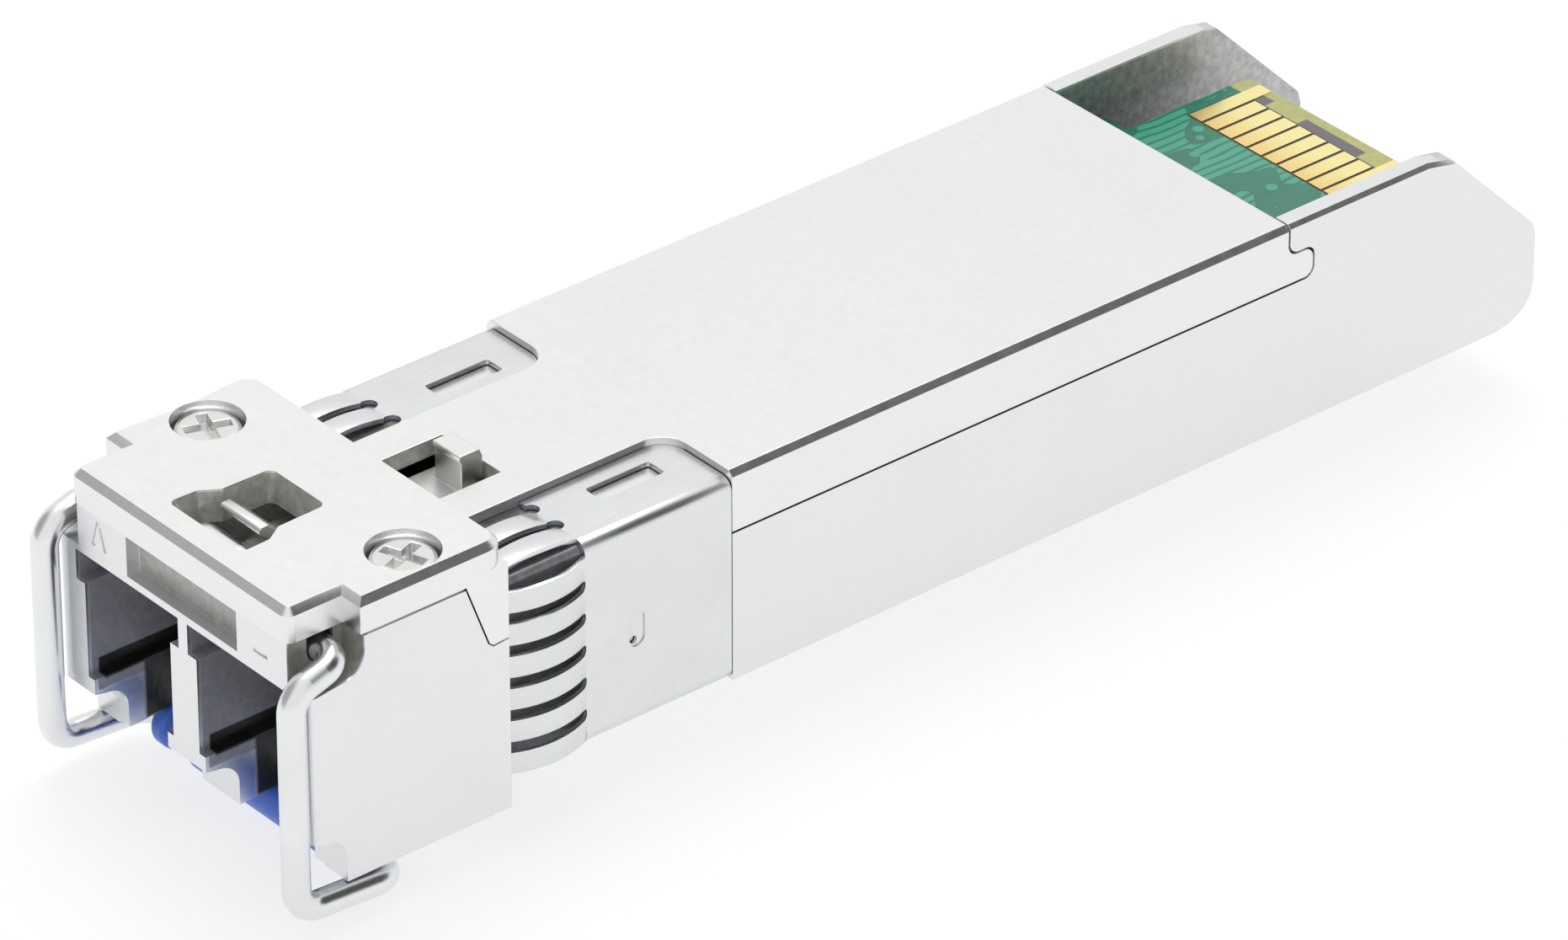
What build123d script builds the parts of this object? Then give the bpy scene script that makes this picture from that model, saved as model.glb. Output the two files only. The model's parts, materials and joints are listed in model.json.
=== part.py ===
"""A duplex LC small form-factor transceiver, shown latch side up.

The module is drawn in its own axes and moved once, at export:
X is the width, Y runs from the optical ports (Y = 0, the nose's front face) to the
edge contacts at the back, and Z is height above the body's flat underside.
All sizes are in millimetres.
"""
from build123d import *
from math import cos, hypot, radians, sin
import os

# ---------------------------------------------------------------- driving sizes
BODY_HALF = 6.7            # half the width of the part that slides into the cage
BODY_TOP = 8.4
HEAD_HALF = 7.0            # half the width of the nose that stays outside
HEAD_BOTTOM = -0.8
HEAD_DECK = 8.7            # top of the casting, under the screwed plate
HEAD_TOP = 10.0
HEAD_FRONT = 0.12          # the plate stands this far proud of the casting
HEAD_BACK = 8.55
COLLAR_END = 18.5
COVER_END = 44.2
WALL_TOP_END = 52.15       # where the side walls start to slope down
WALL_TIP_Z = 8.15          # their height there, a little below the body's top
REAR = 56.45

LC_PITCH_HALF = 3.125      # the two optical axes are 6.25 apart
AXIS_HEIGHT = 4.0

WALL = 0.8
FLOOR = 0.8
SEAM = 6.0                 # height of the joint line between cover and casting
SHEET = 0.18               # spring sheet of the collar
COLLAR_BEND = 0.3          # rounding of the collar's four long bends
SKIN_GAP = 0.04            # air between parts that only lie against each other
SEAM_GAP = 0.07            # the joint line that shows between cover and casting

BOARD_TOP = 6.5
BOARD_THICK = 1.0
BOARD_FRONT = 21.5
BOARD_REAR = 52.8
PAD_PITCH = 0.8
PAD_COUNT = 10

WIRE_R = 0.5
PIVOT_Y = 1.5
PIVOT_Z = 8.0
LEG_X = 6.85
LEG_Y = -0.55
FOOT_Z = -1.22             # each leg's lower corner
CROSSBAR_Y = 3.6
CROSSBAR_Z = -1.48
SLEEVE_R = 0.92
GRIP_MIDDLE = 3.7          # half the grip's middle piece; a ring stands at each end of the crossbar
GRIP_RING = 4.95
GRIP_HALF = 5.7
GRIP_GAP = 0.06
CRANK_Y = 1.95             # the cranked middle of the bail, above and behind its pivot
CRANK_Z = 8.83

LEVER_PIN_Y = 20.0
LEVER_PIN_Z = 7.0
LEVER_PIN_R = 0.35
LEVER_HALF = 1.1
KNUCKLE_R = 0.64

# the finished part stands centred over its footprint, on its lowest point
LIFT = SLEEVE_R - CROSSBAR_Z
MIDDLE_Y = (REAR + LEG_Y - WIRE_R) / 2
PLACE = Location((0, -MIDDLE_Y, LIFT))


# ---------------------------------------------------------------- small helpers
def block(x0, x1, y0, y1, z0, z1):
    """A box between two corners."""
    size = (x1 - x0, y1 - y0, z1 - z0)
    middle = ((x0 + x1) / 2, (y0 + y1) / 2, (z0 + z1) / 2)
    return Pos(*middle) * Box(*size)


def side_prism(points, x0, x1):
    """A side-view outline, given as (Y, Z) points, carried across from x0 to x1."""
    face = Plane.YZ * make_face(Polyline(*points, close=True))
    return Pos(x0, 0, 0) * extrude(face, amount=x1 - x0)


def plan_prism(points, z0, z1):
    """A plan outline, given as (X, Y) points, carried up from z0 to z1."""
    face = make_face(Polyline(*points, close=True))
    return Pos(0, 0, z0) * extrude(face, amount=z1 - z0)


def rod_x(x0, x1, y, z, radius):
    """A round rod lying along X."""
    rod = Cylinder(radius, x1 - x0)
    return Pos((x0 + x1) / 2, y, z) * Rot(0, 90, 0) * rod


def rod_y(x, y0, y1, z, radius):
    """A round rod lying along Y."""
    rod = Cylinder(radius, y1 - y0)
    return Pos(x, (y0 + y1) / 2, z) * Rot(90, 0, 0) * rod


def rod_z(x, y, z0, z1, radius):
    """A round upright rod."""
    return Pos(x, y, (z0 + z1) / 2) * Cylinder(radius, z1 - z0)


def both_sides(shape):
    """The shape and its mirror image across the middle plane."""
    return shape + mirror(shape, Plane.YZ)


def each_side(shape):
    """The same, as two separate solids."""
    return Compound(list(shape.solids()) + list(mirror(shape, Plane.YZ).solids()))


def upright_edges(shape, x=None, y=None, tolerance=0.02):
    """Edges that run along Z at a given distance from the middle and/or a given Y."""
    edges = shape.edges().filter_by(Axis.Z)
    if x is not None:
        edges = edges.filter_by(lambda edge: abs(abs(edge.center().X) - x) < tolerance)
    if y is not None:
        edges = edges.filter_by(lambda edge: abs(edge.center().Y - y) < tolerance)
    return edges


# ---------------------------------------------------------------- nose of the casting
PORT_HALF = 2.4            # half the width of the plug's body
PORT_TOP_HALF = 2.87       # the wider slot above it, for the plug's latch
PORT_FLOOR = 1.75
PORT_STEP = 5.5
PORT_TOP = 6.7
PORT_DEPTH = 8.0
NOSE_LIP_BOTTOM = 1.15     # underside of the port floor at the front
NOTCH_BACK = 1.5
KEYWAY_HALF = 2.07
KEYWAY_BACK = 5.0
RECESS_HALF = 3.05         # the pocket in the front face between the two lintel blocks
RECESS_FLOOR = 7.0
RECESS_BACK = 0.65
TRENCH_HALF = 2.25         # the trench the latch lever works in
TRENCH_FRONT = 0.95        # a thin wall stands between it and the front pocket
CRANK_FLOOR = 6.85         # the trench under the bail's crank
TRENCH_FLOOR = 6.05        # the slot in it under the lever
SCREW_X = 5.37
SCREW_Y = 5.4
SCREW_R = 0.55
SCREW_HOLE_DEPTH = 1.7
EAR_FLOOR_X = 5.8          # how deep the side recesses for the bail's elbows go
GROOVE_R = 0.55            # the bail's shaft turns in an open groove of this radius
CHEEK_REBATE = 0.1         # shadow line under the plate along each cheek
TAB_THICK = 0.8
TAB_TOP_Y = 6.77
TAB_TIP_Y = 7.72
TAB_TIP_Z = 6.0


def port_cut(x):
    """The stepped opening of one optical port, with its keyway through the floor."""
    body = block(x - PORT_HALF, x + PORT_HALF, -1, PORT_DEPTH, PORT_FLOOR, PORT_TOP)
    slot = block(x - PORT_TOP_HALF, x + PORT_TOP_HALF, -1, PORT_DEPTH, PORT_STEP, PORT_TOP)
    keyway = block(x - KEYWAY_HALF, x + KEYWAY_HALF, -1, KEYWAY_BACK, HEAD_BOTTOM - 1, PORT_FLOOR + 0.1)
    return body + slot + keyway


def grip_channel():
    """The shallow way in the nose's underside that the bail's grip nests in and swings out of."""
    swing = hypot(CROSSBAR_Y - PIVOT_Y, CROSSBAR_Z - PIVOT_Z)
    inner = swing - SLEEVE_R - GRIP_GAP
    path = block(-GRIP_HALF - GRIP_GAP, GRIP_HALF + GRIP_GAP, -1, CROSSBAR_Y,
                 HEAD_BOTTOM - 1, PORT_FLOOR)
    path -= rod_x(-GRIP_HALF - 1, GRIP_HALF + 1, PIVOT_Y, PIVOT_Z, inner)
    nest = rod_x(-GRIP_HALF - GRIP_GAP, GRIP_HALF + GRIP_GAP, CROSSBAR_Y, CROSSBAR_Z, SLEEVE_R + GRIP_GAP)
    return path + nest


def bottom_notch():
    """The hollow along the nose's lower front edge, rounded into its back wall."""
    outline = Polyline(
        (-1, NOSE_LIP_BOTTOM), (HEAD_FRONT, NOSE_LIP_BOTTOM), (NOTCH_BACK - 0.9, NOSE_LIP_BOTTOM - 0.1)
    )
    bend = ThreePointArc(outline @ 1, (NOTCH_BACK - 0.22, 0.75), (NOTCH_BACK, 0.2))
    rest = Polyline(bend @ 1, (NOTCH_BACK, HEAD_BOTTOM - 1), (-1, HEAD_BOTTOM - 1), outline @ 0)
    face = Plane.YZ * make_face([outline, bend, rest])
    return Pos(-HEAD_HALF - 1, 0, 0) * extrude(face, amount=2 * HEAD_HALF + 2)


def elbow_recess():
    """The pocket in each cheek that the bail's elbow turns in."""
    top = HEAD_DECK + 1
    outline = Polyline((1.55, 7.12), (0.9, 7.05), (HEAD_FRONT - 1, 6.8), (HEAD_FRONT - 1, top), (2.45, top),
                       (2.45, 8.0))
    bend = ThreePointArc(outline @ 1, (2.2, 7.4), outline @ 0)
    face = Plane.YZ * make_face([outline, bend])
    return Pos(EAR_FLOOR_X, 0, 0) * extrude(face, amount=3)


def plate_tab_outline(gap=0.0):
    """Side view of the plate's rear tab, which drops over the casting's cheek."""
    return [
        (TAB_TOP_Y - gap, HEAD_DECK + 0.3), (TAB_TOP_Y - gap, HEAD_DECK),
        (TAB_TIP_Y - gap, TAB_TIP_Z + 0.12), (TAB_TIP_Y + 0.15, TAB_TIP_Z - gap),
        (HEAD_BACK + gap, TAB_TIP_Z + 0.05 - gap), (HEAD_BACK + gap, HEAD_DECK + 0.3),
    ]


def direction_marks():
    """Shallow grooves on the lintel: a chevron by one port, a bar by the other."""
    marks = Pos(-4.42, HEAD_FRONT, 7.85) * Rot(0, -17, 0) * Box(0.16, 0.12, 1.1)
    marks += Pos(-4.78, HEAD_FRONT, 7.85) * Rot(0, 17, 0) * Box(0.16, 0.12, 1.1)
    marks += Pos(4.35, HEAD_FRONT, 7.55) * Box(0.75, 0.12, 0.16)
    return marks


def nose():
    """The die-cast nose, with the ports, the bail's bearings and the lever's trench."""
    solid = block(-HEAD_HALF, HEAD_HALF, HEAD_FRONT, HEAD_BACK, HEAD_BOTTOM, HEAD_DECK)
    solid = fillet(upright_edges(solid, y=HEAD_FRONT), 0.3)
    for x in (-LC_PITCH_HALF, LC_PITCH_HALF):
        solid -= port_cut(x)
    solid -= bottom_notch()
    solid -= grip_channel()
    solid -= both_sides(elbow_recess())
    solid -= block(-RECESS_HALF, RECESS_HALF, -1, RECESS_BACK, RECESS_FLOOR, HEAD_DECK + 1)
    solid -= block(-TRENCH_HALF, TRENCH_HALF, TRENCH_FRONT, HEAD_BACK + 1, CRANK_FLOOR, HEAD_DECK + 1)
    lever_slot_half = LEVER_HALF + 0.15
    solid -= block(-lever_slot_half, lever_slot_half, TRENCH_FRONT, HEAD_BACK + 1,
                   TRENCH_FLOOR, HEAD_DECK + 1)
    rebate = block(HEAD_HALF - CHEEK_REBATE, HEAD_HALF + 1, HEAD_FRONT, TAB_TOP_Y, HEAD_DECK - CHEEK_REBATE,
                   HEAD_DECK + 1)
    solid -= both_sides(rebate)
    solid -= rod_x(-EAR_FLOOR_X - 1, EAR_FLOOR_X + 1, PIVOT_Y, PIVOT_Z, GROOVE_R)
    solid -= block(-EAR_FLOOR_X - 1, EAR_FLOOR_X + 1, PIVOT_Y - GROOVE_R, PIVOT_Y + GROOVE_R,
                   PIVOT_Z, HEAD_DECK + 1)
    for x in (-SCREW_X, SCREW_X):
        solid -= rod_z(x, SCREW_Y, HEAD_DECK - SCREW_HOLE_DEPTH, HEAD_DECK + 1, SCREW_R)
    tab = side_prism(plate_tab_outline(SEAM_GAP), HEAD_HALF - TAB_THICK - SKIN_GAP, HEAD_HALF + 1)
    solid -= both_sides(tab)
    return solid - direction_marks()


# ---------------------------------------------------------------- optical bay of the casting
BARREL_R = 1.5             # receptacle barrel that the plug's ferrule goes into
FLANGE_R = 2.45
NECK_R = 2.0
CAP_R = 1.9
HEADER_R = 2.35
HEADER_THICK = 1.1
FLANGE_FRONT = 8.6
FLANGE_BACK = 9.7
NECK_BACK = 13.4
CAN_BACK = 17.6
WEB_HALF = 0.45
SPRING_Y = 14.9
SPRING_SEAT = 5.3
SPRING_SEAT_HALF = 0.95


def optical_bay():
    """Spine and saddles that carry the two optical sub-assemblies and the latch spring."""
    front = HEAD_BACK
    spine = block(-WEB_HALF, WEB_HALF, front, NECK_BACK, FLOOR - 0.1, AXIS_HEIGHT + 0.4)
    seat = block(-SPRING_SEAT_HALF, SPRING_SEAT_HALF, SPRING_Y - SPRING_SEAT_HALF,
                 SPRING_Y + SPRING_SEAT_HALF, FLOOR - 0.1, SPRING_SEAT)
    saddle = block(-BODY_HALF + WALL, BODY_HALF - WALL, FLANGE_BACK + 0.1, FLANGE_BACK + 1.3,
                   FLOOR - 0.1, AXIS_HEIGHT)
    bay = spine + seat + saddle
    for x in (-LC_PITCH_HALF, LC_PITCH_HALF):
        bay -= rod_y(x, front - 1, FLANGE_BACK + 0.1, AXIS_HEIGHT, FLANGE_R + SKIN_GAP)
        bay -= rod_y(x, front - 1, NECK_BACK + 0.1, AXIS_HEIGHT, NECK_R + SKIN_GAP)
        bay -= rod_y(x, NECK_BACK, CAN_BACK - HEADER_THICK - 0.1, AXIS_HEIGHT, CAP_R + 0.1)
    return bay


# ---------------------------------------------------------------- tray of the casting
LEDGE_X = 5.0
LEDGE_BACK = 46.0
INTERLOCK_REACH = 1.2      # how far the cover's lower hook runs past its own end
INTERLOCK_TOP = 7.15
INTERLOCK_R = 0.42         # rounding of the hook's three corners
WALL_BEVEL = 0.15


def wall_outline():
    """Side view of one side wall, from the nose to the sloped rear end."""
    lower = COVER_END + INTERLOCK_REACH + SEAM_GAP
    return [
        (HEAD_BACK - 0.1, 0), (REAR - 1.8, 0), (REAR - 1.1, 0.14), (REAR - 0.45, 0.5),
        (REAR - 0.1, 0.95), (REAR, 1.5),
        (REAR, 3.5), (REAR - 0.15, 4.0), (WALL_TOP_END, WALL_TIP_Z),
        (WALL_TOP_END - 1.15, BODY_TOP), (COVER_END + SEAM_GAP, BODY_TOP),
        (COVER_END + SEAM_GAP, INTERLOCK_TOP + SEAM_GAP), (lower, INTERLOCK_TOP + SEAM_GAP),
        (lower, SEAM - SEAM_GAP), (HEAD_BACK - 0.1, SEAM - SEAM_GAP),
    ]


def round_hook(solid, gap):
    """Rounds the three corners where the cover and the side walls hook into each other."""
    corners = [
        (COVER_END + gap, INTERLOCK_TOP + gap), (COVER_END + INTERLOCK_REACH + gap, INTERLOCK_TOP + gap),
        (COVER_END + INTERLOCK_REACH + gap, SEAM - gap),
    ]
    for y, z in corners:
        edges = solid.edges().filter_by(Axis.X).filter_by(
            lambda edge: hypot(edge.center().Y - y, edge.center().Z - z) < 0.01)
        solid = fillet(edges, INTERLOCK_R)
    return solid


def tray():
    """The channel behind the nose: floor, side walls and the ledges under the board."""
    walls = round_hook(side_prism(wall_outline(), -BODY_HALF, BODY_HALF), SEAM_GAP)
    rear_tops = walls.edges().filter_by(
        lambda edge: abs(edge.center().X) > BODY_HALF - 0.01 and edge.center().Z > WALL_TIP_Z)
    walls = chamfer(rear_tops, WALL_BEVEL)
    inside = BODY_HALF - WALL
    solid = walls - block(-inside, inside, HEAD_BACK, REAR + 1, FLOOR, BODY_TOP + 1)
    ledge = block(LEDGE_X, inside + 0.1, BOARD_FRONT + 0.5, LEDGE_BACK, FLOOR - 0.1,
                  BOARD_TOP - BOARD_THICK)
    solid += both_sides(ledge)
    step = SHEET + SKIN_GAP
    belt = block(-BODY_HALF - 1, BODY_HALF + 1, HEAD_BACK, COLLAR_END + SKIN_GAP, -1, BODY_TOP + 1)
    core = block(-BODY_HALF + step, BODY_HALF - step, HEAD_BACK, COLLAR_END + 1, step, BODY_TOP + 1)
    core = fillet(core.edges().filter_by(Axis.Y).sort_by(Axis.Z)[:2], COLLAR_BEND)
    solid -= belt - core
    return solid


def base_housing():
    """The whole die casting."""
    casting = nose() + tray() + optical_bay()
    for x in (-LC_PITCH_HALF, LC_PITCH_HALF):
        casting -= rod_y(x, PORT_DEPTH - 0.5, HEAD_BACK + 0.1, AXIS_HEIGHT, BARREL_R + SKIN_GAP)
    return casting


# ---------------------------------------------------------------- covers
WINDOW_HALF = 1.6          # opening in the cover that the latch post stands in
WINDOW_BACK = 12.55
RAISED_HALF = 3.15         # the cover's middle stands proud between the collar's strips
COVER_BEVEL = 0.22
STRIP_DROP = 0.28
STRIP_CORNER_R = 1.0
LUG_IN = 1.25
LUG_OUT = 2.0


def strip_corner(z0, z1, gap):
    """The rounded-off inner rear corner of one of the collar's top strips."""
    radius = STRIP_CORNER_R
    x = RAISED_HALF + SKIN_GAP
    square = block(x - 2 * gap, x + radius, COLLAR_END - radius, COLLAR_END + 2 * gap, z0, z1)
    return square - rod_z(x + radius, COLLAR_END - radius, z0 - 1, z1 + 1, radius + gap)


def top_cover():
    """The lid over the optics and the board."""
    front = HEAD_BACK + SKIN_GAP
    inside = BODY_HALF - WALL
    outline = [
        (front, SEAM), (COVER_END + INTERLOCK_REACH, SEAM), (COVER_END + INTERLOCK_REACH, INTERLOCK_TOP),
        (COVER_END, INTERLOCK_TOP), (COVER_END, BODY_TOP), (front, BODY_TOP),
    ]
    solid = round_hook(side_prism(outline, -BODY_HALF, BODY_HALF), 0)
    long_edges = solid.edges().filter_by(Axis.Y).filter_by(
        lambda edge: edge.center().Z > BODY_TOP - 0.01)
    solid = chamfer(long_edges, COVER_BEVEL)
    solid -= block(-inside, inside, front - 1, REAR, SEAM - 1, BODY_TOP - 0.7)
    step = SHEET + SKIN_GAP
    belt = block(-BODY_HALF - 1, BODY_HALF + 1, front - 1, COLLAR_END + SKIN_GAP, SEAM - 1, BODY_TOP + 1)
    core = block(-BODY_HALF + step, BODY_HALF - step, front - 2, COLLAR_END + 2, SEAM - 2,
                 BODY_TOP - STRIP_DROP - SHEET - SKIN_GAP)
    core = fillet(core.edges().filter_by(Axis.Y).sort_by(Axis.Z)[-2:], COLLAR_BEND)
    middle = block(-RAISED_HALF, RAISED_HALF, front - 2, COLLAR_END + 2, SEAM, BODY_TOP + 2)
    solid -= belt - core - middle - both_sides(strip_corner(SEAM, BODY_TOP + 2, SKIN_GAP))
    solid -= block(-WINDOW_HALF, WINDOW_HALF, front - 1, WINDOW_BACK, SEAM - 1, BODY_TOP + 1)
    lug = block(LUG_IN, LUG_OUT, LEVER_PIN_Y - 0.8, LEVER_PIN_Y + 0.8, LEVER_PIN_Z - 0.75, BODY_TOP - 0.6)
    solid += both_sides(lug)
    solid -= rod_x(-LUG_OUT - 1, LUG_OUT + 1, LEVER_PIN_Y, LEVER_PIN_Z, LEVER_PIN_R)
    return solid


PLATE_NARROW = 6.0
PLATE_STEP_Y = 2.3
PLATE_WINDOW_FRONT = 1.2
PLATE_WINDOW_BACK = 5.15
SCREW_HEAD_R = 1.2
SCREW_HEAD_THICK = 0.62
SINK_R = 1.32
SINK_DEPTH = 0.85
CROSS_LENGTH = 1.7
CROSS_WIDTH = 0.42
CROSS_DEPTH = 0.42


def head_plate():
    """The screwed plate that keeps the bail and the lever in the nose."""
    outline = [
        (-PLATE_NARROW, 0), (PLATE_NARROW, 0), (PLATE_NARROW, PLATE_STEP_Y), (HEAD_HALF, PLATE_STEP_Y),
        (HEAD_HALF, HEAD_BACK), (-HEAD_HALF, HEAD_BACK), (-HEAD_HALF, PLATE_STEP_Y),
        (-PLATE_NARROW, PLATE_STEP_Y),
    ]
    solid = plan_prism(outline, HEAD_DECK, HEAD_TOP)
    solid = fillet(upright_edges(solid, x=HEAD_HALF, y=HEAD_BACK), 0.8)
    solid = fillet(upright_edges(solid, y=0), 0.4)
    top_rim = solid.faces().sort_by(Axis.Z)[-1].outer_wire().edges()
    solid = chamfer(top_rim, 0.25)
    window = plan_prism([
        (-2.05, PLATE_WINDOW_FRONT), (2.05, PLATE_WINDOW_FRONT), (2.0, 2.4), (1.55, 3.1),
        (1.5, PLATE_WINDOW_BACK), (-1.5, PLATE_WINDOW_BACK), (-1.55, 3.1), (-2.0, 2.4),
    ], HEAD_DECK - 1, HEAD_TOP + 1)
    solid -= fillet(window.edges().filter_by(Axis.Z), 0.3)
    for x in (-SCREW_X, SCREW_X):
        solid -= rod_z(x, SCREW_Y, HEAD_TOP - SINK_DEPTH, HEAD_TOP + 1, SINK_R)
        solid -= rod_z(x, SCREW_Y, HEAD_DECK - 1, HEAD_TOP, SCREW_R + SKIN_GAP)
    tab = side_prism(plate_tab_outline(), HEAD_HALF - TAB_THICK, HEAD_HALF)
    return solid + both_sides(tab)


def plate_screws():
    """Two cross-recess pan-head screws."""
    seat = HEAD_TOP - SINK_DEPTH
    head = rod_z(SCREW_X, SCREW_Y, seat, seat + SCREW_HEAD_THICK, SCREW_HEAD_R)
    head = fillet(head.edges().sort_by(Axis.Z)[-1:], 0.25)
    shank = rod_z(SCREW_X, SCREW_Y, HEAD_DECK - SCREW_HOLE_DEPTH, seat + 0.1, SCREW_R)
    screw = head + shank
    for angle in (20, 110):
        slot = Pos(SCREW_X, SCREW_Y, seat + SCREW_HEAD_THICK) * Rot(0, 0, angle) * Box(
            CROSS_LENGTH, CROSS_WIDTH, 2 * CROSS_DEPTH)
        screw -= slot
    return each_side(screw)


# ---------------------------------------------------------------- bail
def bail_wire():
    """One bent wire: crossbar, legs, elbows, shaft and the crank in the middle."""
    half = [
        (0.1, CROSSBAR_Y, CROSSBAR_Z), (LEG_X, CROSSBAR_Y, CROSSBAR_Z), (LEG_X, LEG_Y, FOOT_Z),
        (LEG_X, LEG_Y, 7.35), (LEG_X, PIVOT_Y, PIVOT_Z), (1.95, PIVOT_Y, PIVOT_Z),
        (1.1, CRANK_Y, CRANK_Z),
    ]
    other_half = [(-x, y, z) for x, y, z in reversed(half)]
    bends = [0.85, 0.9, 1.0, 0.72, 0.6, 0.6]
    path = FilletPolyline(*half, *other_half, radius=bends + bends[::-1])
    section = Plane(origin=path @ 0, z_dir=path % 0) * Circle(WIRE_R)
    return sweep(section, path=path)


def bail_sleeve():
    """The moulded grip round the crossbar."""
    grip = rod_x(-GRIP_MIDDLE, GRIP_MIDDLE, CROSSBAR_Y, CROSSBAR_Z, SLEEVE_R)
    grip = fillet(grip.edges().filter_by(GeomType.CIRCLE), 0.3)
    ring = rod_x(GRIP_RING, GRIP_HALF, CROSSBAR_Y, CROSSBAR_Z, SLEEVE_R)
    ring = fillet(ring.edges().filter_by(GeomType.CIRCLE), 0.2)
    hole = rod_x(-GRIP_HALF - 1, GRIP_HALF + 1, CROSSBAR_Y, CROSSBAR_Z, WIRE_R)
    rings = each_side(ring - hole)
    return Compound(list((grip - hole).solids()) + list(rings.solids()))


# ---------------------------------------------------------------- latch
ARM_TOP = 8.25             # the arm in the nose, just under the bail's crank
ARM_THICK = 0.55
ARM_FRONT = 1.45
ARM_STEP_Y = 9.25
ARM_LOW_TOP = 7.5          # the arm under the cover
BUTTON_Y = 3.25
BUTTON_THICK = 0.42
BUTTON_TOP = 9.85          # its lip stands in the plate's window, over the crank
LIP_FRONT = 2.65
GUIDE_HALF = 1.3           # the arm widens under the cover's window
POST_HALF = 0.75
POST_FRONT = 11.45
POST_TOP = 9.0
POST_LENGTH = 1.0


def latch_lever():
    """Hinged at the back; its front lies under the crank and it carries the latch post."""
    low = ARM_LOW_TOP - ARM_THICK
    outline = [
        (BUTTON_Y, ARM_TOP - ARM_THICK), (ARM_STEP_Y, ARM_TOP - ARM_THICK), (ARM_STEP_Y + 0.75, low),
        (LEVER_PIN_Y, low), (LEVER_PIN_Y, ARM_LOW_TOP), (ARM_STEP_Y + 1.0, ARM_LOW_TOP),
        (ARM_STEP_Y + 0.2, ARM_TOP), (BUTTON_Y, ARM_TOP),
    ]
    arm = side_prism(outline, -LEVER_HALF, LEVER_HALF)
    tongue = block(-0.7, 0.7, ARM_FRONT, BUTTON_Y + 0.1, ARM_TOP - ARM_THICK, ARM_TOP)
    button = side_prism([
        (BUTTON_Y, ARM_TOP - 0.3), (BUTTON_Y, 9.15), (LIP_FRONT, 9.6), (LIP_FRONT, BUTTON_TOP - 0.08),
        (LIP_FRONT + 0.08, BUTTON_TOP), (LIP_FRONT + 0.43, BUTTON_TOP), (LIP_FRONT + 0.43, 9.76),
        (BUTTON_Y + BUTTON_THICK, 9.3), (BUTTON_Y + BUTTON_THICK, ARM_TOP - 0.3),
    ], -LEVER_HALF, LEVER_HALF)
    guide = block(-GUIDE_HALF, GUIDE_HALF, ARM_STEP_Y + 1, POST_FRONT + POST_LENGTH,
                  low, ARM_LOW_TOP)
    post = side_prism([
        (POST_FRONT + 0.08, ARM_LOW_TOP - 0.1), (POST_FRONT + 0.08, POST_TOP - 0.3),
        (POST_FRONT, POST_TOP - 0.22), (POST_FRONT, POST_TOP),
        (POST_FRONT + POST_LENGTH - 0.12, POST_TOP), (POST_FRONT + POST_LENGTH, POST_TOP - 0.3),
        (POST_FRONT + POST_LENGTH, ARM_LOW_TOP - 0.1),
    ], -POST_HALF, POST_HALF)
    knuckle = rod_x(-LEVER_HALF, LEVER_HALF, LEVER_PIN_Y, LEVER_PIN_Z, KNUCKLE_R)
    bore = rod_x(-LEVER_HALF - 1, LEVER_HALF + 1, LEVER_PIN_Y, LEVER_PIN_Z, LEVER_PIN_R + 0.03)
    return arm + tongue + button + guide + post + knuckle - bore


def lever_pin():
    """The pin pressed through the cover's two lugs."""
    return rod_x(-LUG_OUT, LUG_OUT, LEVER_PIN_Y, LEVER_PIN_Z, LEVER_PIN_R)


SPRING_WIRE_R = 0.09
SPRING_COIL_R = 0.7
SPRING_TURNS = 3.5


def latch_spring():
    """The coil spring that pushes the lever up."""
    length = ARM_LOW_TOP - ARM_THICK - SPRING_SEAT - 2 * SPRING_WIRE_R - 2 * SKIN_GAP
    coil = Helix(pitch=length / SPRING_TURNS, height=length, radius=SPRING_COIL_R)
    section = Plane(origin=coil @ 0, z_dir=coil % 0) * Circle(SPRING_WIRE_R)
    wire = sweep(section, path=coil, is_frenet=True)
    return Pos(0, SPRING_Y, SPRING_SEAT + SPRING_WIRE_R + SKIN_GAP) * wire


# ---------------------------------------------------------------- shielding collar
FINGER_ROOT = 12.1
SLOT = 0.45
FINGER_PITCH = 1.29
FINGER_BOW = 0.42
FIRST_FINGER_Z = 0.3
SIDE_FINGERS = 6
KEYHOLE_R = 0.3
STRIP_SLOTS = (3.8, 5.1)   # slots between the fingers of a top strip
STRIP_MIDDLE = 4.4         # each top strip has a small window in it
STRIP_WINDOW_FRONT = 14.3
STRIP_WINDOW_BACK = 17.1
WINDOW_HALF_WIDTH = 0.45
DIMPLE_Y = 14.3
DIMPLE_LOW = 3.5
DIMPLE_HIGH = 4.2
DIMPLE_R = 0.36
DIMPLE_DEPTH = 0.08


def sheet_arc_outline(inner, outer):
    """Plan view of a bowed finger: flat at its root, bulging outward, back in at its tip."""
    tip = HEAD_BACK + 0.12
    middle = (tip + FINGER_ROOT) / 2
    front_out = ThreePointArc((outer, FINGER_ROOT), (outer + FINGER_BOW, middle), (outer, tip))
    front_in = ThreePointArc((inner, tip), (inner + FINGER_BOW, middle), (inner, FINGER_ROOT))
    return make_face([front_out, Line(front_out @ 1, front_in @ 0), front_in,
                      Line(front_in @ 1, front_out @ 0)])


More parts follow.
